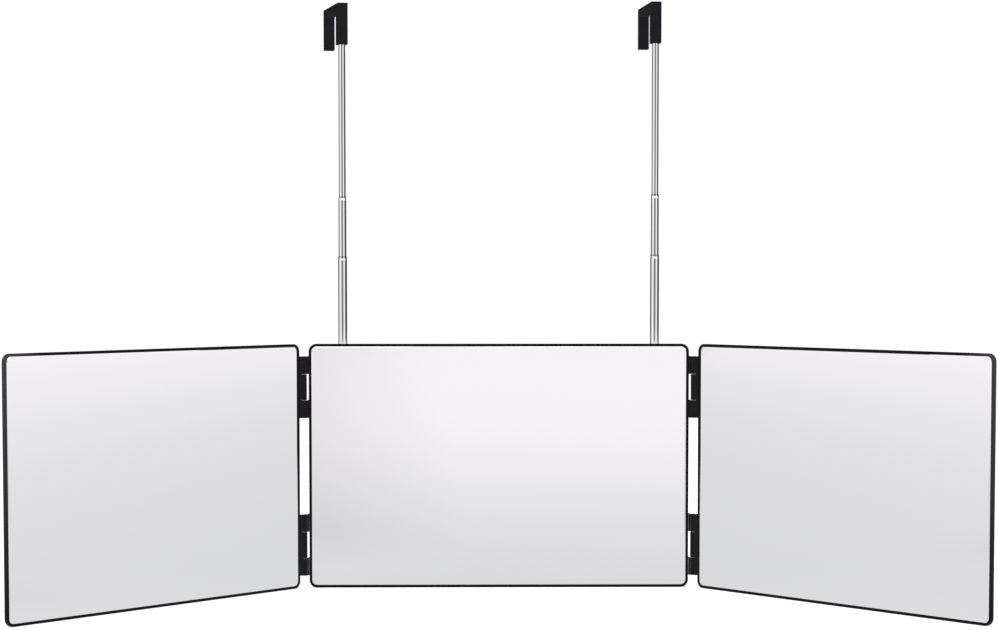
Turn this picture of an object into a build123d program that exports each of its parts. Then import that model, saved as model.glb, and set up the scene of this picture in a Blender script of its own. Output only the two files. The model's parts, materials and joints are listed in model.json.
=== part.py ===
from build123d import *
import os

# Three-panel folding make-up mirror on two telescopic hangers that hook over a door.
# Millimetres. X is to the viewer's right, Y away from the viewer, Z up.
# The origin is the middle of the centre panel's foot, so the mirror stands on Z = 0.
# "left" and "right" are the viewer's. Side -1 is left, side 1 is right.

os.makedirs("parts", exist_ok=True)
LEFT = -1
RIGHT = 1
SIDES = {"left": LEFT, "right": RIGHT}

# Panel: a moulded tray with the pane in its front and a shallow cover on its back
panel_width = 300
panel_height = 193
corner_radius = 6
rim_width = 2
rim_round = 0.5
rim_inner_bevel = 0.3
frame_depth = 5
back_bevel = 1.8
pane_thickness = 1.8
pane_recess = 0.3
pane_play = 0.15
pane_bevel = 0.4
pad_thickness = 0.5
pad_inset = 5
cover_inset = 6
cover_depth = 2.6
cover_wall = 1.2
cover_edge_round = 0.8
cover_corner_radius = 5

# How the wings stand in the photograph, in degrees forward of flat
wing_opening = {LEFT: 50, RIGHT: 51.5}

# Hinge: its axis runs beside the centre panel's edge and a little in front of its face
hinge_reach = 3.5
hinge_stand = 1.5
hinge_inset = 9.8
knuckle_radius = 2.1
knuckle_round = 0.5
end_knuckle = 13.9
middle_knuckle = 20.4
knuckle_gap = 0.2
pin_radius = 0.8
pin_end_recess = 0.3
pin_chamfer = 0.2
web_thickness = 1
web_gap = 0.15
web_start = 0.15
web_round = 0.4
arm_depth = 1.6
leaf_thickness = 1.2
leaf_reach = 5.2
stop_height = 6
stop_gap = 0.1

# Telescopic rods. The inset is from a panel's end to a rod's axis
rod_inset = 26.5
rod_cover_gap = 0.6
sleeve_radius = 3.9
tube_step = 0.4
tube_wall = 0.25
crimp_length = 2.4
crimp_neck = 1.6
crimp_lip = 0.8
sleeve_foot = 10
sleeve_top_drop = 6
plug_collar = 5
plug_spigot = 5
plug_vent_radius = 1
plug_clearance = 0.5
plug_chamfer = 0.25
tip_showing = 3
cap_flange = 1.5
cap_lip = 0.4

# How far each tube stands out of the next one in the photograph
lower_shown = {LEFT: 74, RIGHT: 75.5}
middle_shown = {LEFT: 47.3, RIGHT: 47.6}
upper_shown = {LEFT: 119.6, RIGHT: 119.1}

# Hook: a post on the rod, a bridge over the door's edge and a tongue behind the door
door_gap = 54
hook_width = 8.3
hook_height = 32.5
post_depth = 8.6
bridge_thickness = 6
tongue_thickness = 6
hook_outer_round = 1.2
hook_inner_round = 2.5
hook_edge_round = 0.5
hook_lift = 1
socket_tube = 19
tip_length = 6
tip_spigot = 8
tip_chamfer = 0.4
groove_radius = 1.7
groove_play = 0.1
retaining_pin_radius = 0.8
retaining_pin_inset = 0.2
hook_turn = {LEFT: 12, RIGHT: 5}

# Bracket that holds a sleeve to the centre panel's back
bracket_height = 14
bracket_wall = 1.6
ear_thickness = 3
ear_reach = 13
ear_screw_reach = 9.2
ear_round = 1.5
bracket_inset = 30

# Screws
cover_screw_radius = 1.1
cover_screw_head_radius = 2
cover_screw_head_height = 1.3
cover_screw_counterbore_depth = 1.5
cover_screw_inset_x = 18
cover_screw_inset_z = 14
bracket_screw_radius = 1.3
bracket_screw_head_radius = 2.4
bracket_screw_head_height = 1.6
leaf_screw_radius = 0.9
leaf_screw_head_radius = 1.7
leaf_screw_inset = 3.5
leaf_screw_spacing = 17
screw_bite = 1.9
slot_width = 0.5
slot_depth = 0.5
slot_margin = 0.6
pan_head_round = 0.45
countersink_taper = 45
post_wall = 2.2

# Clearances
snug = 0.01
slide_fit = 0.04
turn_fit = 0.06
screw_play = 0.1
head_play = 0.3

# Heights and depths that follow
front_y = -(frame_depth - back_bevel) / 2
floor_depth = pane_recess + pane_thickness + pad_thickness
panel_depth = frame_depth + cover_depth
rod_spacing = panel_width - 2 * rod_inset
rod_y = front_y + panel_depth + rod_cover_gap + sleeve_radius
hinge_length = 2 * end_knuckle + middle_knuckle + 2 * knuckle_gap
end_knuckle_offset = (hinge_length - end_knuckle) / 2
hinge_heights = {
    "lower": hinge_inset + hinge_length / 2,
    "upper": panel_height - hinge_inset - hinge_length / 2,
}
bracket_heights = {
    "lower": bracket_inset + bracket_height / 2,
    "upper": panel_height - bracket_inset - bracket_height / 2,
}
sleeve_top = panel_height - sleeve_top_drop
tube_radii = {
    "lower": sleeve_radius - tube_step,
    "middle": sleeve_radius - 2 * tube_step,
    "upper": sleeve_radius - 3 * tube_step,
}


def write(piece, label):
    """Name a finished piece and write its file."""
    piece.part.label = label
    export_step(piece.part, f"parts/{label}.step")


def hinge_axis(side):
    """Where a side's hinge axis meets the ground."""
    return Vector(side * (panel_width / 2 + hinge_reach), front_y - hinge_stand)


def panel_plane(side=0):
    """A panel's front face: X along its width, Y up, Z out of the face towards the viewer."""
    if not side:
        return Plane(origin=(0, front_y, 0), x_dir=(1, 0, 0), z_dir=(0, -1, 0))
    turn = -side * wing_opening[side]
    to_middle = Vector(side * (hinge_reach + panel_width / 2), hinge_stand)
    return Plane(
        origin=hinge_axis(side) + to_middle.rotate(Axis.Z, turn),
        x_dir=Vector(1, 0).rotate(Axis.Z, turn),
        z_dir=Vector(0, -1).rotate(Axis.Z, turn),
    )


def out_of(plane):
    """The axis that points out of a plane, to sort faces along it."""
    return Axis(plane.origin, plane.z_dir)


def cover_screw_places():
    """The six cover screws, on a panel's own X and Y."""
    across = panel_width / 2 - cover_screw_inset_x
    return [
        (x, y)
        for x in (-across, 0, across)
        for y in (cover_screw_inset_z, panel_height - cover_screw_inset_z)
    ]


def bracket_screw_places():
    """The screws of the four rod brackets, on the centre panel's own X and Y."""
    return [
        (side * rod_spacing / 2 + reach, height)
        for side in SIDES.values()
        for height in bracket_heights.values()
        for reach in (-ear_screw_reach, ear_screw_reach)
    ]


def leaf_screw_places(edges, heights=tuple(hinge_heights.values())):
    """The hinge leaf screws beside the given edges of a panel, on its own X and Y."""
    return [
        (edge * (panel_width / 2 - leaf_screw_inset), height + step * leaf_screw_spacing)
        for edge in edges
        for height in heights
        for step in (-1, 0, 1)
    ]


def build_frame(name, plane, edges, brackets=()):
    """The moulded tray: a rim round the pane and a floor behind it."""
    with BuildPart() as frame:
        with BuildSketch(plane.offset(-frame_depth)):
            with Locations((0, panel_height / 2)):
                RectangleRounded(panel_width, panel_height, corner_radius)
        extrude(amount=frame_depth)
        chamfer(frame.faces().sort_by(out_of(plane))[0].edges(), back_bevel)
        fillet(frame.faces().sort_by(out_of(plane))[-1].edges(), rim_round)
        with BuildSketch(plane):
            with Locations((0, panel_height / 2)):
                RectangleRounded(
                    panel_width - 2 * rim_width,
                    panel_height - 2 * rim_width,
                    corner_radius - rim_width,
                )
        extrude(amount=-floor_depth, mode=Mode.SUBTRACT)
        mouth = frame.faces().sort_by(out_of(plane))[-1].inner_wires()
        chamfer(mouth.edges(), rim_inner_bevel)
        for places, radius in (
            (cover_screw_places(), cover_screw_radius),
            (leaf_screw_places(edges), leaf_screw_radius),
            (brackets, bracket_screw_radius),
        ):
            if places:
                with BuildSketch(plane.offset(-frame_depth)):
                    with Locations(*places):
                        Circle(radius + snug)
                extrude(amount=screw_bite + screw_play, mode=Mode.SUBTRACT)
    write(frame, f"{name}_frame")


def build_pane(name, plane):
    """The mirror pane, with a narrow ground bevel round its face."""
    with BuildPart() as pane:
        with BuildSketch(plane.offset(-pane_recess - pane_thickness)):
            with Locations((0, panel_height / 2)):
                RectangleRounded(
                    panel_width - 2 * (rim_width + pane_play),
                    panel_height - 2 * (rim_width + pane_play),
                    corner_radius - rim_width - pane_play,
                )
        extrude(amount=pane_thickness)
        chamfer(pane.faces().sort_by(out_of(plane))[-1].edges(), pane_bevel)
    write(pane, f"{name}_mirror")


def build_pad(name, plane):
    """The foam pad that holds the pane to the frame's floor."""
    with BuildPart() as pad:
        with BuildSketch(plane.offset(-floor_depth)):
            with Locations((0, panel_height / 2)):
                Rectangle(
                    panel_width - 2 * (rim_width + pad_inset),
                    panel_height - 2 * (rim_width + pad_inset),
                )
        extrude(amount=pad_thickness)
    write(pad, f"{name}_mounting_pad")


def build_cover(name, plane, brackets=()):
    """The back cover: a shallow shell with a post round each screw."""
    inside = cover_depth - cover_wall
    with BuildPart() as cover:
        with BuildSketch(plane.offset(-panel_depth)):
            with Locations((0, panel_height / 2)):
                RectangleRounded(
                    panel_width - 2 * cover_inset,
                    panel_height - 2 * cover_inset,
                    cover_corner_radius,
                )
        extrude(amount=cover_depth)
        fillet(cover.faces().sort_by(out_of(plane))[0].edges(), cover_edge_round)
        with BuildSketch(plane.offset(-frame_depth)):
            with Locations((0, panel_height / 2)):
                RectangleRounded(
                    panel_width - 2 * (cover_inset + cover_wall),
                    panel_height - 2 * (cover_inset + cover_wall),
                    cover_corner_radius - cover_wall,
                )
        extrude(amount=-inside, mode=Mode.SUBTRACT)
        with BuildSketch(plane.offset(-frame_depth - inside)):
            with Locations(*cover_screw_places()):
                Circle(cover_screw_radius + post_wall)
            if brackets:
                with Locations(*brackets):
                    Circle(bracket_screw_radius + post_wall)
        extrude(amount=inside)
        with BuildSketch(plane.offset(-panel_depth)):
            with Locations(*cover_screw_places()):
                Circle(cover_screw_head_radius + head_play)
        extrude(amount=cover_screw_counterbore_depth, mode=Mode.SUBTRACT)
        with BuildSketch(plane.offset(-panel_depth)):
            with Locations(*cover_screw_places()):
                Circle(cover_screw_radius + screw_play)
            if brackets:
                with Locations(*brackets):
                    Circle(bracket_screw_radius + screw_play)
        extrude(amount=cover_depth, mode=Mode.SUBTRACT)
    write(cover, f"{name}_back_cover")


def build_pan_screws(label, places, seat, radius, head_radius, head_height, reach):
    """Pan-head screws with a cross slot. Their heads rest on the seat plane's front."""
    slot_length = 2 * (head_radius - slot_margin)
    with BuildPart() as screws:
        with BuildSketch(seat):
            with Locations(*places):
                Circle(radius)
        extrude(amount=reach)
        with BuildSketch(seat):
            with Locations(*places):
                Circle(head_radius)
        extrude(amount=-head_height)
        crown = screws.faces().sort_by(out_of(seat))[: len(places)]
        fillet(crown.edges(), pan_head_round)
        with BuildSketch(seat.offset(-head_height)):
            with Locations(*places):
                Rectangle(slot_length, slot_width)
                Rectangle(slot_width, slot_length)
        extrude(amount=slot_depth, mode=Mode.SUBTRACT)
    write(screws, label)


def build_leaf_screws(label, plane, edges):
    """Countersunk screws that hold the hinge leaves of one body to its frame."""
    back = plane.offset(-frame_depth - leaf_thickness)
    cone = leaf_screw_head_radius - leaf_screw_radius
    places = leaf_screw_places(edges)
    with BuildPart() as screws:
        with BuildSketch(back):
            with Locations(*places):
                Circle(leaf_screw_radius)
        extrude(amount=leaf_thickness + screw_bite)
        with BuildSketch(back):
            with Locations(*places):
                Circle(leaf_screw_head_radius)
        extrude(amount=cone, taper=countersink_taper)
        with BuildSketch(back):
            with Locations(*places):
                Rectangle(2 * (leaf_screw_head_radius - slot_margin), slot_width)
        extrude(amount=slot_depth, mode=Mode.SUBTRACT)
    write(screws, label)


def leaf_plane(side, height, on_wing):
    """Across a hinge at its middle height: X from the axis towards the leaf's panel, Y back."""
    towards = side if on_wing else -side
    turn = -side * wing_opening[side] if on_wing else 0
    return Plane(
        origin=hinge_axis(side) + Vector(0, 0, height),
        x_dir=Vector(towards, 0).rotate(Axis.Z, turn),
        z_dir=Vector(0, 0, towards),
    )


def box_sketch(plane, low, high):
    """A rectangle between two corners of a plane."""
    with BuildSketch(plane) as outline:
        with Locations(((low[0] + high[0]) / 2, (low[1] + high[1]) / 2)):
            Rectangle(high[0] - low[0], high[1] - low[1])
    return outline.sketch


def build_leaf(label, side, height, on_wing):
    """One hinge leaf: its knuckles, the web past the frame's edge and the flange behind it."""
    plane = leaf_plane(side, height, on_wing)
    panel = panel_plane(side if on_wing else 0)
    edge = -side if on_wing else side
    across = Axis(plane.origin, plane.x_dir)
    backwards = Axis(plane.origin, plane.y_dir)
    cone = leaf_screw_head_radius - leaf_screw_radius
    web_outer = hinge_reach - web_gap
    web_inner = web_outer - web_thickness
    flange_front = hinge_stand + frame_depth
    flange_back = flange_front + leaf_thickness
    flange_end = hinge_reach + leaf_reach
    ends = [(-end_knuckle_offset, end_knuckle), (end_knuckle_offset, end_knuckle)]
    knuckles = [(0, middle_knuckle)] if on_wing else ends
    webs = [(0, hinge_length)] if on_wing else ends
    with BuildPart() as leaf:
        for offset, length in knuckles:
            with BuildSketch(plane.offset(offset)):
                Circle(knuckle_radius)
            extrude(amount=length / 2, both=True)
        fillet(leaf.edges().filter_by(GeomType.CIRCLE), knuckle_round)
        for offset, length in webs:
            section = plane.offset(offset)
            add(box_sketch(section, (web_inner, web_start), (web_outer, flange_back)))
            add(box_sketch(section, (web_inner, flange_front), (flange_end, flange_back)))
            extrude(amount=length / 2, both=True)
        for offset, length in knuckles:
            arm_back = web_start + arm_depth
            add(box_sketch(plane.offset(offset), (0, web_start), (web_outer, arm_back)))
            extrude(amount=length / 2, both=True)
        for offset, _ in ends:
            tab = plane.offset(offset)
            add(box_sketch(tab, (stop_gap, flange_front), (web_inner, flange_back)))
            extrude(amount=stop_height / 2, both=True)
        add(box_sketch(plane, (hinge_reach, flange_front), (flange_end, flange_back)))
        extrude(amount=hinge_length / 2, both=True)
        front_corners = (
            leaf.edges()
            .filter_by(Axis.Z)
            .filter_by_position(backwards, web_start - snug, web_start + snug)
            .filter_by_position(across, web_outer - snug, web_outer + snug)
        )
        fillet(front_corners, web_round)
        with BuildSketch(plane):
            Circle(pin_radius + (turn_fit if on_wing else snug))
        extrude(amount=hinge_length / 2, both=True, mode=Mode.SUBTRACT)
        with BuildSketch(panel.offset(-frame_depth - leaf_thickness)):
            with Locations(*leaf_screw_places((edge,), (height,))):
                Circle(leaf_screw_radius + snug)
        extrude(amount=leaf_thickness, mode=Mode.SUBTRACT)
        with BuildSketch(panel.offset(-frame_depth - leaf_thickness)):
            with Locations(*leaf_screw_places((edge,), (height,))):
                Circle(leaf_screw_head_radius + snug)
        extrude(amount=cone, taper=countersink_taper, mode=Mode.SUBTRACT)
    write(leaf, label)


def build_hinge_pin(label, side, height):
    """The steel pin that is pressed into the fixed knuckles."""
    with BuildPart() as pin:
        with BuildSketch(leaf_plane(side, height, False)):
            Circle(pin_radius)
        extrude(amount=hinge_length / 2 - pin_end_recess, both=True)
        chamfer(pin.edges().filter_by(GeomType.CIRCLE), pin_chamfer)
    write(pin, label)


def rod_heights(side):
    """Foot and top of each sliding tube. The upper tube's top is inside the hook."""
    standing_room = plug_spigot + plug_clearance + plug_collar
    lower_length = sleeve_top + tip_showing - sleeve_foot - standing_room
    middle_length = lower_length + tip_showing - standing_room
    upper_length = middle_length + hook_lift - standing_room
    lower_top = sleeve_top + lower_shown[side]
    middle_top = lower_top + middle_shown[side]
    hook_foot = middle_top + upper_shown[side]
    return {
        "lower": (lower_top - lower_length, lower_top),
        "middle": (middle_top - middle_length, middle_top),
        "upper": (hook_foot - upper_length, hook_foot + socket_tube),
    }


def rod_plane(side, height=0):
    """Across a rod at a height, with its origin on the rod's axis."""
    return Plane(origin=(side * rod_spacing / 2, rod_y, height), z_dir=(0, 0, 1))


def upright_plane(side):
    """Upright through a rod's axis: X to the right, Y up."""
    return Plane(origin=rod_plane(side).origin, x_dir=(1, 0, 0), z_dir=(0, -1, 0))


def build_tube(label, side, radius, foot, top, crimped=True):
    """A thin tube. A crimped top closes round the next tube in."""
    bore = radius - tube_wall
    neck = radius - tube_step + slide_fit
    if crimped:
        mouth = [
            (radius, top - crimp_length),
            (neck + tube_wall, top - crimp_lip),
            (neck + tube_wall, top),
            (neck, top),
            (neck, top - crimp_neck),
            (bore, top - crimp_length),
        ]
    else:
        mouth = [(radius, top), (bore, top)]
    with BuildPart() as tube:
        with BuildSketch(upright_plane(side)):
            with BuildLine():
                Polyline((bore, foot), (radius, foot), *mouth, close=True)
            make_face()
        revolve(axis=Axis(rod_plane(side).origin, (0, 0, 1)))
    write(tube, label)


def build_plug(label, side, radius, foot, collar_radius, collar_height):
    """The plug in a tube's foot, with a collar below it and an air hole through it."""
    with BuildPart() as plug:
        with BuildSketch(rod_plane(side, foot)):
            Circle(radius - tube_wall - snug)
        extrude(amount=plug_spigot)
        with BuildSketch(rod_plane(side, foot)):
            Circle(collar_radius)
        extrude(amount=-collar_height)
        chamfer(plug.faces().sort_by(Axis.Z)[0].edges(), plug_chamfer)
        with BuildSketch(rod_plane(side, foot + plug_spigot)):
            Circle(plug_vent_radius)
        extrude(amount=-plug_spigot - collar_height, mode=Mode.SUBTRACT)
    write(plug, label)


def build_tip(label, side, radius, top):
    """The solid tip on the upper tube, with the groove that the retaining pin runs in."""
    groove_half = retaining_pin_radius + groove_play
    with BuildPart() as tip:
        with BuildSketch(rod_plane(side, top)):
            Circle(radius - tube_wall - snug)
        extrude(amount=-tip_spigot)
        with BuildSketch(rod_plane(side, top)):
            Circle(radius)
        extrude(amount=tip_length)
        chamfer(tip.faces().sort_by(Axis.Z)[-1].edges(), tip_chamfer)
        with BuildSketch(rod_plane(side, top + tip_length / 2)):
            Circle(radius)
            Circle(groove_radius, mode=Mode.SUBTRACT)
        extrude(amount=groove_half, both=True, mode=Mode.SUBTRACT)
    write(tip, label)


def hook_plane(side, foot):
    """A hook's side view: X from the rod's axis over the door, Y up, Z across the hook."""
    turn = hook_turn[side]
    return Plane(
        origin=rod_plane(side, foot).origin,
        x_dir=Vector(0, 1).rotate(Axis.Z, turn),
        z_dir=Vector(1, 0).rotate(Axis.Z, turn),
    )


def build_hook(label, side, foot):
    """The over-door hook with the socket that turns on the upper tube."""
    plane = hook_plane(side, foot)
    post_front = -post_depth / 2
    tongue_front = post_depth / 2 + door_gap
    tongue_back = tongue_front + tongue_thickness
    under_bridge = hook_height - bridge_thickness
    pin_height = socket_tube + tip_length / 2
    pin_offset = groove_radius + groove_play + retaining_pin_radius
    with BuildPart() as hook:
        with BuildSketch(plane) as side_view:
            with BuildLine():
                Polyline(
                    (post_front, 0),
                    (-post_front, 0),
                    (-post_front, under_bridge),
                    (tongue_front, under_bridge),
                    (tongue_front, 0),
                    (tongue_back, 0),
                    (tongue_back, hook_height),
                    (post_front, hook_height),
                    close=True,
                )
            make_face()
            levels = side_view.vertices().group_by(Axis.Y)
            fillet(levels[1], hook_inner_round)
            fillet(levels[2], hook_outer_round)
        extrude(amount=hook_width / 2, both=True)
        flanks = hook.faces().sort_by(out_of(plane))
        fillet(flanks[0].edges() + flanks[-1].edges(), hook_edge_round)
        with BuildSketch(rod_plane(side, foot)):
            Circle(tube_radii["upper"] + turn_fit)
        extrude(amount=socket_tube + tip_length + groove_play, mode=Mode.SUBTRACT)
        with BuildSketch(plane):
            with Locations((pin_offset, pin_height)):
                Circle(retaining_pin_radius + snug)
        extrude(amount=hook_width, both=True, mode=Mode.SUBTRACT)
    write(hook, label)
    with BuildPart() as pin:
        with BuildSketch(plane):
            with Locations((pin_offset, pin_height)):
                Circle(retaining_pin_radius)
        extrude(amount=hook_width / 2 - retaining_pin_inset, both=True)
    write(pin, f"{label}_pin")


def build_bracket(label, side, height):
    """A saddle with two ears that clamps a sleeve to the back cover."""
    cover_back = -(rod_cover_gap + sleeve_radius)
    hump = sleeve_radius + bracket_wall
    back = panel_plane().offset(-panel_depth - ear_thickness)
    middle = side * rod_spacing / 2
    with BuildPart() as bracket:
        with BuildSketch(rod_plane(side, height)):
            Circle(hump)
            with Locations((0, cover_back / 2)):
                Rectangle(2 * hump, -cover_back)
            with Locations((0, cover_back - hump / 2)):
                Rectangle(2 * hump, hump, mode=Mode.SUBTRACT)
            with Locations((0, cover_back + ear_thickness / 2)):
                Rectangle(2 * ear_reach, ear_thickness)
            Circle(sleeve_radius + snug, mode=Mode.SUBTRACT)
        extrude(amount=bracket_height / 2, both=True)
        ears = bracket.edges().filter_by(Axis.Y)
        fillet(ears.group_by(Axis.X)[0] + ears.group_by(Axis.X)[-1], ear_round)
        with BuildSketch(back):
            with Locations((middle - ear_screw_reach, height), (middle + ear_screw_reach, height)):
                Circle(bracket_screw_radius + screw_play)
        extrude(amount=ear_thickness, mode=Mode.SUBTRACT)
    write(bracket, label)


def build_panel(name, side, edges, brackets=()):
    """All the pieces of one panel but its hinge leaves."""
    plane = panel_plane(side)
    build_frame(name, plane, edges, brackets)
    build_pane(name, plane)
    build_pad(name, plane)
    build_cover(name, plane, brackets)
    build_pan_screws(
        f"{name}_cover_screws",
        cover_screw_places(),
        plane.offset(cover_screw_counterbore_depth - panel_depth),
        cover_screw_radius,
        cover_screw_head_radius,
        cover_screw_head_height,
        cover_depth - cover_screw_counterbore_depth + screw_bite,
    )
    build_leaf_screws(f"{name}_leaf_screws", plane, edges)


def build_rod(name, side):
    """One telescopic rod, its hook and the brackets that hold its sleeve."""
    tubes = rod_heights(side)
    bore = sleeve_radius - tube_wall
    build_tube(f"{name}_rod_sleeve", side, sleeve_radius, sleeve_foot, sleeve_top)
    build_plug(
        f"{name}_sleeve_end_cap", side, sleeve_radius, sleeve_foot, sleeve_radius + cap_lip, cap_flange
    )
    for stage, (foot, top) in tubes.items():
        radius = tube_radii[stage]
        build_tube(f"{name}_{stage}_tube", side, radius, foot, top, stage != "upper")
        build_plug(
            f"{name}_{stage}_tube_plug", side, radius, foot, bore - slide_fit, plug_collar
        )
        bore = radius - tube_wall
    upper_top = tubes["upper"][1]
    build_tip(f"{name}_upper_tube_tip", side, tube_radii["upper"], upper_top)
    build_hook(f"{name}_hook", side, upper_top - socket_tube)
    for place, height in bracket_heights.items():
        build_bracket(f"{name}_{place}_rod_bracket", side, height)


build_panel("centre", 0, (LEFT, RIGHT), bracket_screw_places())
build_pan_screws(
    "rod_bracket_screws",
    bracket_screw_places(),
    panel_plane().offset(-panel_depth - ear_thickness),
    bracket_screw_radius,
    bracket_screw_head_radius,
    bracket_screw_head_height,
    ear_thickness + cover_depth + screw_bite,
)
for name, side in SIDES.items():
    build_panel(f"{name}_wing", side, (-side,))
    build_rod(name, side)
    for place, height in hinge_heights.items():
        hinge = f"{name}_{place}_hinge"
        build_leaf(f"{hinge}_fixed_leaf", side, height, False)
        build_leaf(f"{hinge}_wing_leaf", side, height, True)
        build_hinge_pin(f"{hinge}_pin", side, height)
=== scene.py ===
import json
import math
import bmesh
import bpy
from mathutils import Matrix, Vector


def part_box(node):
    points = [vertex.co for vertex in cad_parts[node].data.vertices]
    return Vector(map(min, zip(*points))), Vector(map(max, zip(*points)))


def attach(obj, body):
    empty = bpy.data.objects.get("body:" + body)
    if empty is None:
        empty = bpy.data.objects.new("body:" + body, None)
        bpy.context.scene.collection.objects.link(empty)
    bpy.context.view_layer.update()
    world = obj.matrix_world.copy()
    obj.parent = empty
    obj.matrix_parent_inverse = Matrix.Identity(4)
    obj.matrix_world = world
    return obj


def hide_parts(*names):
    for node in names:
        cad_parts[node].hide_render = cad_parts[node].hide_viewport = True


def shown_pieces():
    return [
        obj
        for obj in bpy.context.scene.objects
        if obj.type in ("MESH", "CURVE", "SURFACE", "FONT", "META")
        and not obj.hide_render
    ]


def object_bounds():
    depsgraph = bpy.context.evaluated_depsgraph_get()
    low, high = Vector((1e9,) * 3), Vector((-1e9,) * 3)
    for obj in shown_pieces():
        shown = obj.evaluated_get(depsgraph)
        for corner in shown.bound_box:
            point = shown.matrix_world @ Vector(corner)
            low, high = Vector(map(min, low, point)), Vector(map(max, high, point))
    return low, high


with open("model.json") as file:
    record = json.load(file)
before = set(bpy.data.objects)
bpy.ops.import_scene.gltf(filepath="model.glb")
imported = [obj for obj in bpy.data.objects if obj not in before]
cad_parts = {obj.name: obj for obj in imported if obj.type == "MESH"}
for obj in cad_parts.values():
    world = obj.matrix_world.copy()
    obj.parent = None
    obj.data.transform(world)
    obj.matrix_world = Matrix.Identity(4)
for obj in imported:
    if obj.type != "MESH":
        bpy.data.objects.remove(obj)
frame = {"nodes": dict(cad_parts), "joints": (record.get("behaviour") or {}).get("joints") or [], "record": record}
cad_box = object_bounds()

# A folding make-up mirror of three panels on two telescopic hangers, in metres.
# Panel space has X across the panel from its middle, Y from its face to its back and Z up.

MM = 0.001
SIDES = ("left", "right")
PANELS = ("centre", "left_wing", "right_wing")
PANEL_BODIES = {"centre": "centre_panel", "left_wing": "left_wing", "right_wing": "right_wing"}

# Camera: where the photograph was taken from
IMAGE_WIDTH = 998
IMAGE_HEIGHT = 630
FOCAL_PIXELS = 2687.6
CENTRE_ROW = 434.0
CAMERA_PLACE = (-0.0328, -2.1204, 0.2562)
CAMERA_YAW = 0.887
CAMERA_PITCH = 3.630
SENSOR_WIDTH = 36

# Light: each lamp has a name, a place, a size and a power in watts
LAMPS = (
    ("key", (-1.3, -1.2, 1.7), 1.4, 16),
    ("fill", (1.5, -1.0, 1.2), 1.2, 7),
    ("top", (0.1, 0.3, 1.8), 1.6, 8),
)
DAYLIGHT = 0.62
SEEN_WHITE = 1.0
FLOOR_WHITE = 0.9
FLOOR_MOTTLE = 0.02
FLOOR_LIFT = 0.43
FLOOR_RADIUS = 6.6
FLOOR_SIDES = 96
FLOOR_DROP = 0.1 * MM

# What the mirrors see of the floor, a painted reflection that it glows with for mirror rays only: painted shade,
# grey close by, white further out towards the viewer, a painted grey strip that spreads from the middle panel's
# left end, dark behind the object and a painted dark flag in front of it to each side
NEAR_TONE = (0.752, 0.772, 0.765)
FAR_TONE = (1.0, 1.0, 1.0)
TONE_REACH = 1.2
TONE_CURVE = 1.5
SIDE_SHARE = 0.37
STRIP_DEPTH = 0.14
STRIP_SPREAD = 0.35
STRIP_EDGES = (-0.32, -0.16, -0.02)
STRIP_START = (0.15, 0.45)
DARK_BEHIND = (0.35, 0.75)
DARK_BEHIND_SLOPE = 0.07
DARK_LEVEL = 0.05
FLAG_BEARINGS = (26, 43, 60)
FLAG_DISTANCES = (0.55, 0.9)
FLAG_DEPTH = 0.25

# Pane
PANE_CORNER = 3.85 * MM
PANE_CHAMFER = 0.25 * MM
BEVEL_WIDTH = 0.8 * MM
BEVEL_FALL = 0.19 * MM
CORNER_STEPS = 8

# Painted sheen: where the wings' frames are painted a lighter grey that stands in for light on their outer ends:
# across from the middle, and up
SHEEN_ENDS = (0.328, 0.340)
SHEEN_HEIGHTS = (0.0, 0.19)

# Seal: the dark ring in the mouth of a tube, round the next tube in
SEAL_RISE = 0.6 * MM
SEAL_SINK = 0.3 * MM
SEAL_PLAY = 0.03 * MM
SEAL_STEPS = 48
SEAL_TOP_STEPS = 4
TUBE_PAIRS = (("lower_tube", "middle_tube"), ("middle_tube", "upper_tube"))


def panel_matrix(name):
    """Panel space to the frame: the middle of the panel's foot, on its face."""
    low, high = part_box("centre_frame")
    if name == "centre":
        return Matrix.Translation((0, low.y, 0))
    joint = next(j for j in frame["joints"] if j["child"] == name)
    side = -joint["axis"][2]
    axis = Vector((joint["pos_m"][0], joint["pos_m"][1], 0))
    turn = Matrix.Rotation(math.radians(side * joint["range_deg"][0]), 4, "Z")
    offset = Matrix.Translation((side * abs(axis.x), low.y - axis.y, 0))
    return Matrix.Translation(axis) @ turn @ offset


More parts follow.
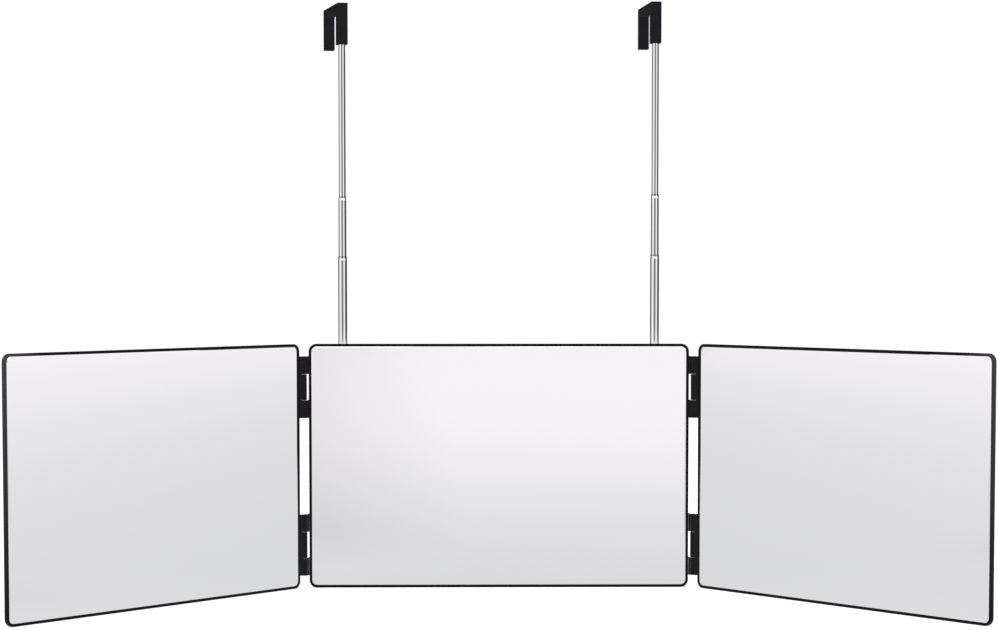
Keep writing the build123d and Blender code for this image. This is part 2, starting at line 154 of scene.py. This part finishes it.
class Shader:
    """A node material in the making, with the few kinds of node that the finishes need."""

    def __init__(self, name, settings):
        self.material = bpy.data.materials.new(name)
        self.material.use_nodes = True
        self.tree = self.material.node_tree
        self.shader = self.tree.nodes["Principled BSDF"]
        for socket, value in settings.items():
            self.shader.inputs[socket].default_value = value

    def node(self, kind, **settings):
        made = self.tree.nodes.new(kind)
        for name, value in settings.items():
            setattr(made, name, value)
        return made

    def link(self, output, target):
        self.tree.links.new(output, target)

    def place(self, stretch=(1, 1, 1)):
        """The piece's own coordinates in metres, stretched along its axes."""
        coordinates = self.node("ShaderNodeTexCoord")
        mapping = self.node("ShaderNodeMapping")
        mapping.inputs["Scale"].default_value = stretch
        self.link(coordinates.outputs["Object"], mapping.inputs["Vector"])
        return mapping.outputs["Vector"]

    def noise(self, scale, detail=3, stretch=(1, 1, 1), roughness=0.55):
        made = self.node("ShaderNodeTexNoise")
        made.inputs["Scale"].default_value = scale
        made.inputs["Detail"].default_value = detail
        made.inputs["Roughness"].default_value = roughness
        self.link(self.place(stretch), made.inputs["Vector"])
        return made.outputs["Fac"]

    def cells(self, scale):
        made = self.node("ShaderNodeTexVoronoi", feature="SMOOTH_F1")
        made.inputs["Scale"].default_value = scale
        self.link(self.place(), made.inputs["Vector"])
        return made.outputs["Distance"]

    def bands(self, scale, axis, distortion=0.0):
        made = self.node("ShaderNodeTexWave", bands_direction=axis)
        made.inputs["Scale"].default_value = scale
        made.inputs["Distortion"].default_value = distortion
        self.link(self.place(), made.inputs["Vector"])
        return made.outputs["Fac"]

    def height(self, low, high):
        """0 at one height of the frame and 1 at another."""
        split = self.node("ShaderNodeSeparateXYZ")
        self.link(self.place(), split.inputs["Vector"])
        return self.spread(split.outputs["Z"], 0, 1, low, high)

    def spread(self, value, low, high, start=0.3, end=0.7):
        made = self.node("ShaderNodeMapRange", clamp=True)
        for socket, number in (
            ("From Min", start),
            ("From Max", end),
            ("To Min", low),
            ("To Max", high),
        ):
            made.inputs[socket].default_value = number
        self.link(value, made.inputs["Value"])
        return made.outputs["Result"]

    def math(self, operation, first, second):
        made = self.node("ShaderNodeMath", operation=operation)
        for socket, value in zip(made.inputs, (first, second)):
            if isinstance(value, (int, float)):
                socket.default_value = value
            else:
                self.link(value, socket)
        return made.outputs["Value"]

    def colour(self, factor, first, second):
        made = self.node("ShaderNodeMix", data_type="RGBA")
        made.inputs["A"].default_value = (*first, 1)
        made.inputs["B"].default_value = (*second, 1)
        self.link(factor, made.inputs["Factor"])
        self.link(made.outputs["Result"], self.shader.inputs["Base Color"])

    def roughness(self, value, low, high):
        self.link(self.spread(value, low, high), self.shader.inputs["Roughness"])

    def bump(self, value, distance, strength=1.0):
        """Raises the surface by up to a distance. A second call lies on the first."""
        made = self.node("ShaderNodeBump")
        made.inputs["Distance"].default_value = distance
        made.inputs["Strength"].default_value = strength
        self.link(value, made.inputs["Height"])
        normal = self.shader.inputs["Normal"]
        if normal.is_linked:
            self.link(normal.links[0].from_socket, made.inputs["Normal"])
        self.link(made.outputs["Normal"], normal)


def mirror_glass():
    """Silvered glass: a clear, faintly violet reflection with the haze of a wiped pane."""
    made = Shader("mirror_glass", {"Metallic": 1.0})
    made.colour(made.noise(9, detail=2), (0.922, 0.900, 0.922), (0.930, 0.908, 0.931))
    made.roughness(made.noise(34, detail=5), 0.012, 0.03)
    return made.material


def frame_moulding():
    """Satin black moulding with a fine spark grain, and a painted sheen: greyer up the wings' outer ends."""
    made = Shader("frame_moulding", {"Specular IOR Level": 0.1})
    split = made.node("ShaderNodeSeparateXYZ")
    made.link(made.place(), split.inputs["Vector"])
    sideways = made.math("ABSOLUTE", split.outputs["X"], 0)
    # Painted sheen: the wings' outer ends are painted greyer towards the top, standing in for the light they catch
    ends = made.spread(sideways, 0, 1, *SHEEN_ENDS)
    painted_sheen = made.math("MULTIPLY", ends, made.height(*SHEEN_HEIGHTS))
    painted_sheen = made.math("MULTIPLY", painted_sheen, made.spread(made.noise(420, detail=4), 0.75, 1))
    made.colour(painted_sheen, (0.0024, 0.0020, 0.0024), (0.052, 0.049, 0.053))
    made.roughness(made.noise(160, detail=4), 0.26, 0.38)
    made.bump(made.noise(2400, detail=2), 0.01 * MM)
    made.bump(made.noise(90, detail=2), 0.02 * MM, 0.6)
    return made.material


def cover_moulding():
    """Matt black back cover with a coarser leather-like moulded grain."""
    made = Shader("cover_moulding", {"Specular IOR Level": 0.3})
    made.colour(made.noise(40), (0.0085, 0.0085, 0.009), (0.0135, 0.0135, 0.014))
    made.roughness(made.noise(420), 0.48, 0.62)
    made.bump(made.cells(1300), 0.05 * MM, 0.8)
    made.bump(made.noise(3200), 0.015 * MM)
    return made.material


def hinge_moulding():
    """Black hinge moulding, glossier than the frame, with faint drag lines along the barrel."""
    made = Shader("hinge_moulding", {"Specular IOR Level": 0.16})
    made.colour(made.noise(300), (0.0022, 0.0020, 0.0024), (0.0060, 0.0056, 0.0064))
    made.roughness(made.noise(900, stretch=(1, 1, 0.05)), 0.22, 0.36)
    made.bump(made.noise(1500, stretch=(1, 1, 0.03)), 0.015 * MM)
    return made.material


def bracket_moulding():
    """Black bracket moulding with a fine grain."""
    made = Shader("bracket_moulding", {"Specular IOR Level": 0.3})
    made.colour(made.noise(120), (0.008, 0.008, 0.0085), (0.014, 0.014, 0.0145))
    made.roughness(made.noise(500), 0.36, 0.5)
    made.bump(made.cells(2000), 0.02 * MM, 0.7)
    return made.material


def plug_moulding():
    """Waxy black plug moulding, with turned rings left by its tool."""
    made = Shader("plug_moulding", {"Specular IOR Level": 0.35})
    made.colour(made.noise(200), (0.018, 0.018, 0.018), (0.028, 0.028, 0.028))
    made.roughness(made.noise(700), 0.3, 0.42)
    made.bump(made.bands(1400, "Z"), 0.01 * MM, 0.5)
    return made.material


def hook_moulding():
    """Satin black hook with a cool sheen and a fine grain."""
    made = Shader(
        "hook_moulding",
        {"Specular IOR Level": 0.16, "Specular Tint": (0.92, 0.90, 1.0, 1)},
    )
    made.colour(made.noise(150), (0.0030, 0.0027, 0.0036), (0.0068, 0.0060, 0.0078))
    made.roughness(made.noise(380, detail=4), 0.34, 0.46)
    made.bump(made.cells(1900), 0.02 * MM, 0.7)
    made.bump(made.noise(120, detail=2), 0.03 * MM, 0.5)
    return made.material


def foam_sheet():
    """White closed-cell foam."""
    made = Shader("foam_sheet", {"Specular IOR Level": 0.2})
    made.colour(made.noise(800), (0.74, 0.74, 0.72), (0.82, 0.82, 0.80))
    made.roughness(made.noise(600), 0.8, 0.95)
    made.bump(made.cells(2600), 0.1 * MM)
    return made.material


def chromed_tube():
    """Bright chrome over drawn tube: lengthwise draw lines and a few dull patches."""
    made = Shader("chromed_tube", {"Metallic": 1.0})
    made.colour(made.noise(60, stretch=(1, 1, 0.3)), (0.90, 0.90, 0.915), (0.95, 0.95, 0.96))
    made.roughness(made.noise(260, detail=4, stretch=(1, 1, 0.1)), 0.01, 0.03)
    made.bump(made.noise(1800, detail=2, stretch=(1, 1, 0.01)), 0.001 * MM, 0.5)
    return made.material


def bright_pin():
    """Drawn steel pin with a ground end."""
    made = Shader("bright_pin", {"Metallic": 1.0})
    made.colour(made.noise(500), (0.50, 0.50, 0.51), (0.66, 0.66, 0.67))
    made.roughness(made.noise(1500, stretch=(1, 1, 0.1)), 0.22, 0.36)
    made.bump(made.noise(2600, stretch=(1, 1, 0.05)), 0.005 * MM)
    return made.material


def blackened_screw():
    """Blackened steel, worn brighter in patches."""
    made = Shader("blackened_screw", {"Metallic": 0.85})
    made.colour(made.noise(1400, detail=4), (0.022, 0.022, 0.025), (0.075, 0.075, 0.08))
    made.roughness(made.noise(1800), 0.3, 0.5)
    made.bump(made.noise(3000), 0.012 * MM)
    return made.material


def turned_brass():
    """Brass tip with the fine rings of the lathe."""
    made = Shader("turned_brass", {"Metallic": 1.0})
    made.colour(made.noise(900), (0.70, 0.50, 0.20), (0.80, 0.61, 0.28))
    made.roughness(made.noise(1200), 0.2, 0.34)
    made.bump(made.bands(2200, "Z"), 0.01 * MM, 0.6)
    return made.material


FINISHES = {
    "mirror_pane": mirror_glass,
    "frame_plastic": frame_moulding,
    "cover_plastic": cover_moulding,
    "hinge_plastic": hinge_moulding,
    "bracket_plastic": bracket_moulding,
    "plug_plastic": plug_moulding,
    "hook_plastic": hook_moulding,
    "foam": foam_sheet,
    "chromed_tube": chromed_tube,
    "pin_steel": bright_pin,
    "screw_steel": blackened_screw,
    "tip_brass": turned_brass,
}


def dress_nodes():
    """Each CAD node takes the finish of its material slot."""
    finishes = {slot: make() for slot, make in FINISHES.items()}
    for row in frame["record"]["subparts"]:
        node = frame["nodes"][row["node"]]
        node.data.materials.clear()
        node.data.materials.append(finishes[row["material_slot"]])
    return finishes


def rounded_outline(half_width, low, high, corner, inset, depth):
    """One ring of points of a rounded rectangle in panel space, inset from its edges."""
    points = []
    radius = corner - inset if inset < corner else corner / 4
    for side_x, side_z, start in ((1, 1, 0), (-1, 1, 90), (-1, -1, 180), (1, -1, 270)):
        centre_x = side_x * (half_width - inset - radius)
        centre_z = high - inset - radius if side_z > 0 else low + inset + radius
        for step in range(CORNER_STEPS + 1):
            angle = math.radians(start + 90 * step / CORNER_STEPS)
            across = centre_x + radius * math.cos(angle)
            points.append((across, depth, centre_z + radius * math.sin(angle)))
    return points


def build_pane(name, finish):
    """The pane with its ground bevel: a narrow band that falls away towards the rim."""
    low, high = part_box("centre_mirror")
    face = low.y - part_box("centre_frame")[0].y
    back = high.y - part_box("centre_frame")[0].y
    rings = (
        (0, back),
        (0, face + BEVEL_FALL + PANE_CHAMFER),
        (PANE_CHAMFER, face + BEVEL_FALL),
        (PANE_CHAMFER + BEVEL_WIDTH, face),
    )
    mesh = bmesh.new()
    loops = []
    for inset, depth in rings:
        outline = rounded_outline(high.x, low.z, high.z, PANE_CORNER, inset, depth)
        loops.append([mesh.verts.new(point) for point in outline])
    for outer, inner in zip(loops, loops[1:]):
        count = len(outer)
        for step in range(count):
            following = (step + 1) % count
            mesh.faces.new((outer[step], outer[following], inner[following], inner[step]))
    mesh.faces.new(loops[-1])
    mesh.faces.new(reversed(loops[0]))
    bmesh.ops.recalc_face_normals(mesh, faces=mesh.faces)
    data = bpy.data.meshes.new(f"{name}_pane")
    mesh.to_mesh(data)
    mesh.free()
    data.transform(panel_matrix(name))
    data.materials.append(finish)
    pane = bpy.data.objects.new(f"{name}_pane", data)
    bpy.context.scene.collection.objects.link(pane)
    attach(pane, PANEL_BODIES[name])
    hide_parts(f"{name}_mirror")


def build_seal(name, outer_tube, inner_tube, finish):
    """A dark ring in a tube's mouth: a flat foot inside the crimp and a rounded top."""
    low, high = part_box(outer_tube)
    inner_low, inner_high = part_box(inner_tube)
    middle = (low + high) / 2
    inner = (inner_high.x - inner_low.x) / 2 + SEAL_PLAY
    outer = (high.x - low.x) / 2 - SEAL_PLAY
    lip = (outer - inner) / 2
    profile = [(inner, high.z - SEAL_SINK), (inner, high.z + SEAL_RISE / 2)]
    for step in range(SEAL_TOP_STEPS + 1):
        angle = math.pi * (1 - step / SEAL_TOP_STEPS)
        across = inner + lip + lip * math.cos(angle)
        profile.append((across, high.z + SEAL_RISE / 2 * (1 + math.sin(angle))))
    profile.append((outer, high.z + SEAL_PLAY))
    profile.append((inner + lip, high.z + SEAL_PLAY))
    profile.append((inner + lip, high.z - SEAL_SINK))
    mesh = bmesh.new()
    rings = []
    for step in range(SEAL_STEPS):
        angle = 2 * math.pi * step / SEAL_STEPS
        across, along = math.cos(angle), math.sin(angle)
        ring = [(middle.x + r * across, middle.y + r * along, z) for r, z in profile]
        rings.append([mesh.verts.new(point) for point in ring])
    for ring, following in zip(rings, rings[1:] + rings[:1]):
        for step in range(len(profile)):
            after = (step + 1) % len(profile)
            mesh.faces.new((ring[step], following[step], following[after], ring[after]))
    bmesh.ops.remove_doubles(mesh, verts=mesh.verts, dist=1e-7)
    bmesh.ops.recalc_face_normals(mesh, faces=mesh.faces)
    data = bpy.data.meshes.new(name)
    mesh.to_mesh(data)
    mesh.free()
    data.materials.append(finish)
    seal = bpy.data.objects.new(name, data)
    bpy.context.scene.collection.objects.link(seal)
    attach(seal, outer_tube)


def build_floor():
    """A white floor that keeps the object's shadow. Mirrors see a painted reflection on it, darker close to them
    as painted shade.
    """
    made = Shader("studio_floor", {"Roughness": 0.9, "Specular IOR Level": 0.0})
    made.colour(made.noise(3), (FLOOR_WHITE,) * 3, (FLOOR_WHITE + FLOOR_MOTTLE,) * 3)
    split = made.node("ShaderNodeSeparateXYZ")
    made.link(made.place(), split.inputs["Vector"])
    forward = made.math("MULTIPLY", split.outputs["Y"], -1)
    aside = made.math("ABSOLUTE", split.outputs["X"], 0)
    sideways = made.math("MULTIPLY", aside, SIDE_SHARE)
    reach = made.math("MAXIMUM", made.math("ADD", sideways, forward), 0)
    fall = made.math("POWER", made.math("MULTIPLY", reach, 1 / TONE_REACH), TONE_CURVE)
    near = made.math("POWER", 1 / math.e, fall)
    tone = made.node("ShaderNodeMix", data_type="RGBA")
    tone.inputs["A"].default_value = (*FAR_TONE, 1)
    tone.inputs["B"].default_value = (*NEAR_TONE, 1)
    made.link(near, tone.inputs["Factor"])
    spread = made.math("ADD", made.math("MULTIPLY", forward, STRIP_SPREAD), 1)
    across = made.math("DIVIDE", split.outputs["X"], spread)
    outer, darkest, inner = STRIP_EDGES
    strip = made.math(
        "MULTIPLY",
        made.spread(across, 0, 1, outer, darkest),
        made.spread(across, 1, 0, darkest, inner),
    )
    strip = made.math("MULTIPLY", strip, made.spread(forward, 0, STRIP_DEPTH, *STRIP_START))
    # Painted reflection: for mirror rays the floor glows with these tones instead of being lit
    reflected = made.node("ShaderNodeEmission")
    made.link(tone.outputs["Result"], reflected.inputs["Color"])
    behind = made.math("ADD", forward, made.math("MULTIPLY", aside, DARK_BEHIND_SLOPE))
    dark = made.spread(made.math("MULTIPLY", behind, -1), 1, DARK_LEVEL, *DARK_BEHIND)
    bearing = made.math("ARCTAN2", aside, forward)
    start, middle, end = (math.radians(degrees) for degrees in FLAG_BEARINGS)
    flag = made.math(
        "MULTIPLY",
        made.spread(bearing, 0, 1, start, middle),
        made.spread(bearing, 1, 0, middle, end),
    )
    away = made.math("ADD", aside, made.math("MAXIMUM", forward, 0))
    flag = made.math("MULTIPLY", flag, made.spread(away, 0, FLAG_DEPTH, *FLAG_DISTANCES))
    level = made.math("SUBTRACT", 1, strip)
    level = made.math("MULTIPLY", level, made.math("SUBTRACT", 1, flag))
    made.link(made.math("MULTIPLY", level, dark), reflected.inputs["Strength"])
    path = made.node("ShaderNodeLightPath")
    lift = made.node("ShaderNodeEmission")
    lifted = made.math("MULTIPLY", path.outputs["Is Camera Ray"], FLOOR_LIFT)
    made.link(lifted, lift.inputs["Strength"])
    lit = made.node("ShaderNodeAddShader")
    made.link(made.shader.outputs["BSDF"], lit.inputs[0])
    made.link(lift.outputs["Emission"], lit.inputs[1])
    either = made.math(
        "MAXIMUM", path.outputs["Is Glossy Ray"], path.outputs["Is Transmission Ray"]
    )
    seen = made.node("ShaderNodeMixShader")
    made.link(either, seen.inputs["Fac"])
    made.link(lit.outputs["Shader"], seen.inputs[1])
    made.link(reflected.outputs["Emission"], seen.inputs[2])
    made.link(seen.outputs["Shader"], made.tree.nodes["Material Output"].inputs["Surface"])
    mesh = bmesh.new()
    bmesh.ops.create_circle(mesh, cap_ends=True, segments=FLOOR_SIDES, radius=FLOOR_RADIUS)
    data = bpy.data.meshes.new("studio_floor")
    mesh.to_mesh(data)
    mesh.free()
    data.materials.append(made.material)
    floor = bpy.data.objects.new("studio_floor", data)
    floor.location.z = -FLOOR_DROP
    bpy.context.scene.collection.objects.link(floor)


# What metal sees round it above the floor: bearing in degrees from the viewer's direction,
# negative to the left, and brightness. White cards stand left and right of dark ones.
STUDIO_CARDS = (
    (-180, 0.35),
    (-173, 0.30),
    (-165, 0.05),
    (-112, 0.08),
    (-90, 0.55),
    (-68, 0.95),
    (-36, 1.0),
    (-26, 0.30),
    (-4, 0.14),
    (10, 0.20),
    (22, 0.60),
    (38, 1.0),
    (54, 1.0),
    (70, 0.16),
    (100, 0.08),
    (165, 0.05),
    (173, 0.30),
    (180, 0.35),
)

# How much of the cards shows at each elevation in degrees, with white where none does
CARD_RISE = ((-1.86, 0.0), (-1.76, 1.0), (6.0, 1.0), (7.5, 0.0), (28, 0.0), (40, 0.6))

# Behind the object the cards show at every elevation. They come in between these two values
# of the part of the direction that points straight back.
DARK_BACKDROP = (0.25, 0.5)


def build_world():
    """White all round for the camera, even daylight, and studio cards in what metal sees."""
    world = bpy.data.worlds.new("studio")
    world.use_nodes = True
    bpy.context.scene.world = world
    tree = world.node_tree
    tree.nodes.clear()

    def node(kind, **settings):
        made = tree.nodes.new(kind)
        for name, value in settings.items():
            setattr(made, name, value)
        return made

    def sums(operation, first, second):
        made = node("ShaderNodeMath", operation=operation)
        for socket, value in zip(made.inputs, (first, second)):
            if isinstance(value, (int, float)):
                socket.default_value = value
            else:
                tree.links.new(value, socket)
        return made.outputs["Value"]

    coordinates = node("ShaderNodeTexCoord")
    split = node("ShaderNodeSeparateXYZ")
    tree.links.new(coordinates.outputs["Generated"], split.inputs["Vector"])
    towards = sums("MULTIPLY", split.outputs["Y"], -1)
    bearing = sums("ARCTAN2", split.outputs["X"], towards)
    turn = sums("ADD", sums("MULTIPLY", bearing, 0.5 / math.pi), 0.5)
    ramp = node("ShaderNodeValToRGB")
    points = ramp.color_ramp.elements
    while len(points) < len(STUDIO_CARDS):
        points.new(0.5)
    for point, (degrees, _) in zip(points, STUDIO_CARDS):
        point.position = degrees / 360 + 0.5
    for point, (_, level) in zip(points, STUDIO_CARDS):
        point.color = (level, level, level, 1)
    tree.links.new(turn, ramp.inputs["Fac"])
    rise = node("ShaderNodeFloatCurve")
    curve = rise.mapping.curves[0]
    for _ in CARD_RISE[2:]:
        curve.points.new(0.5, 0.5)
    for point, (degrees, level) in zip(curve.points, CARD_RISE):
        point.location = (math.sin(math.radians(degrees)) * 0.5 + 0.5, level)
        point.handle_type = "VECTOR"
    rise.mapping.update()
    height = sums("ADD", sums("MULTIPLY", split.outputs["Z"], 0.5), 0.5)
    tree.links.new(height, rise.inputs["Value"])
    behind = node("ShaderNodeMapRange", clamp=True)
    behind.inputs["From Min"].default_value = DARK_BACKDROP[0]
    behind.inputs["From Max"].default_value = DARK_BACKDROP[1]
    tree.links.new(split.outputs["Y"], behind.inputs["Value"])
    cards = node("ShaderNodeMix", data_type="RGBA")
    cards.inputs["A"].default_value = (1, 1, 1, 1)
    tree.links.new(ramp.outputs["Color"], cards.inputs["B"])
    shown = sums("MAXIMUM", rise.outputs["Value"], behind.outputs["Result"])
    tree.links.new(shown, cards.inputs["Factor"])
    path = node("ShaderNodeLightPath")
    daylight = node("ShaderNodeBackground")
    daylight.inputs["Strength"].default_value = DAYLIGHT
    white = node("ShaderNodeBackground")
    white.inputs["Strength"].default_value = SEEN_WHITE
    reflected = node("ShaderNodeBackground")
    tree.links.new(cards.outputs["Result"], reflected.inputs["Color"])
    for background in (daylight, white):
        background.inputs["Color"].default_value = (1, 1, 1, 1)
    seen = sums("MAXIMUM", path.outputs["Is Camera Ray"], path.outputs["Is Transmission Ray"])
    first = node("ShaderNodeMixShader")
    tree.links.new(seen, first.inputs["Fac"])
    tree.links.new(daylight.outputs["Background"], first.inputs[1])
    tree.links.new(white.outputs["Background"], first.inputs[2])
    second = node("ShaderNodeMixShader")
    tree.links.new(path.outputs["Is Glossy Ray"], second.inputs["Fac"])
    tree.links.new(first.outputs["Shader"], second.inputs[1])
    tree.links.new(reflected.outputs["Background"], second.inputs[2])
    output = node("ShaderNodeOutputWorld")
    tree.links.new(second.outputs["Shader"], output.inputs["Surface"])


def build_lamp(name, place, size, power):
    """A soft square lamp that faces the middle of the object."""
    light = bpy.data.lights.new(name, "AREA")
    light.size = size
    light.energy = power
    lamp = bpy.data.objects.new(name, light)
    lamp.location = place
    middle = (cad_box[0] + cad_box[1]) / 2
    lamp.rotation_euler = (middle - Vector(place)).to_track_quat("-Z", "Y").to_euler()
    bpy.context.scene.collection.objects.link(lamp)


def build_camera():
    """The camera that was fitted to the photograph's edges."""
    data = bpy.data.cameras.new("camera")
    data.sensor_width = SENSOR_WIDTH
    data.lens = FOCAL_PIXELS / IMAGE_WIDTH * SENSOR_WIDTH
    data.shift_y = (CENTRE_ROW - IMAGE_HEIGHT / 2) / IMAGE_WIDTH
    data.clip_start = 0.01
    data.clip_end = 100
    camera = bpy.data.objects.new("camera", data)
    camera.location = CAMERA_PLACE
    camera.rotation_euler = (math.radians(90 - CAMERA_PITCH), 0, math.radians(-CAMERA_YAW))
    bpy.context.scene.collection.objects.link(camera)
    bpy.context.scene.camera = camera


bpy.context.scene.view_settings.view_transform = "Standard"
build_camera()
finishes = dress_nodes()
for name in PANELS:
    build_pane(name, finishes["mirror_pane"])

for side in SIDES:
    for outer_tube, inner_tube in TUBE_PAIRS:
        build_seal(
            f"{side}_{outer_tube}_seal",
            f"{side}_{outer_tube}",
            f"{side}_{inner_tube}",
            finishes["frame_plastic"],
        )

# The mirrors show only the studio, as they do in the photograph
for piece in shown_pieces():
    piece.visible_glossy = False

build_floor()
build_world()
for lamp in LAMPS:
    build_lamp(*lamp)
